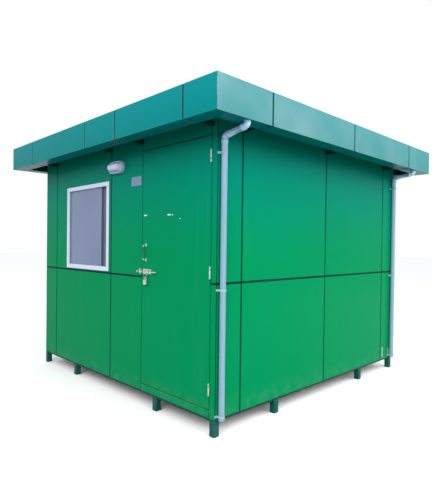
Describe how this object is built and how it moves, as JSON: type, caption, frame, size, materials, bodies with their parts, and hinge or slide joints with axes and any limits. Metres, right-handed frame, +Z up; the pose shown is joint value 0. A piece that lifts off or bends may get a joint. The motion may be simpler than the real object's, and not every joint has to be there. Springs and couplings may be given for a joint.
{
  "type": "portable site cabin",
  "caption": "Square steel-framed cabin clad in flat panels, with an outward-opening bolted door, a framed window, boxed eaves and side downpipes.",
  "frame": {"origin": "ground level under the middle of the plan", "axes": "+X to the right along the front with the door and window, +Y towards the back, +Z up"},
  "size_m": [3.66, 3.66, 2.655],
  "materials": {
    "green_panel": "gloss",
    "dark_frame": "satin",
    "green_steel": "satin",
    "white_lining": "matte",
    "floor_board": "matte",
    "roof_steel": "satin",
    "deck_board": "matte",
    "pipe_plastic": "satin",
    "white_frame": "satin",
    "pale_glass": "gloss",
    "dark_glass": "gloss",
    "lamp_white": "gloss",
    "plate_grey": "satin",
    "galvanised": "satin"
  },
  "bodies": {
    "cabin": {"feet": "green_steel", "base_side_beams": "dark_frame", "base_cross_beams": "dark_frame", "floor_deck": "floor_board", "corner_posts": "dark_frame", "front_wall_bays": "dark_frame", "front_wall_infill": "dark_frame", "side_walls": "dark_frame", "back_wall": "dark_frame", "front_cladding": "green_panel", "side_cladding": "green_panel", "back_cladding": "green_panel", "front_lining": "white_lining", "side_linings": "white_lining", "back_lining": "white_lining", "ceiling": "white_lining", "roof_joists": "dark_frame", "roof_deck": "deck_board", "roof_firrings": "deck_board", "roof_sheet": "roof_steel", "gutter_floor": "roof_steel", "gutter_sides": "roof_steel", "eaves_arms": "dark_frame", "eaves_uprights": "dark_frame", "eaves_faces": "green_panel", "eaves_returns": "green_panel", "eaves_copings": "green_panel", "downpipes": "pipe_plastic", "pipe_clips": "pipe_plastic", "window_frame": "white_frame", "window_sash": "pale_glass", "window_glass": "dark_glass", "lamp_base": "lamp_white", "lamp_cover": "lamp_white", "wall_plate": "plate_grey", "bolt_keep": "galvanised", "frame_hinge_leaves": "galvanised", "door_stops": "dark_frame", "door_sill": "galvanised"},
    "door": {"door_leaf": "white_lining", "door_skin": "green_panel", "door_hinge_leaves": "galvanised", "pull_handle": "galvanised", "bolt_guides": "galvanised", "padlock": "galvanised"},
    "bolt": {"bolt_rod": "galvanised"}
  },
  "joints": [
    {"name": "door_hinge", "type": "hinge", "parent": "cabin", "child": "door", "pos_m": [1.46525, -1.533, 0], "axis": [0, 0, 1], "range_deg": [0, 150]},
    {"name": "bolt_slide", "type": "slide", "parent": "door", "child": "bolt", "axis": [-1, 0, 0], "range_m": [0, 0.06]}
  ]
}
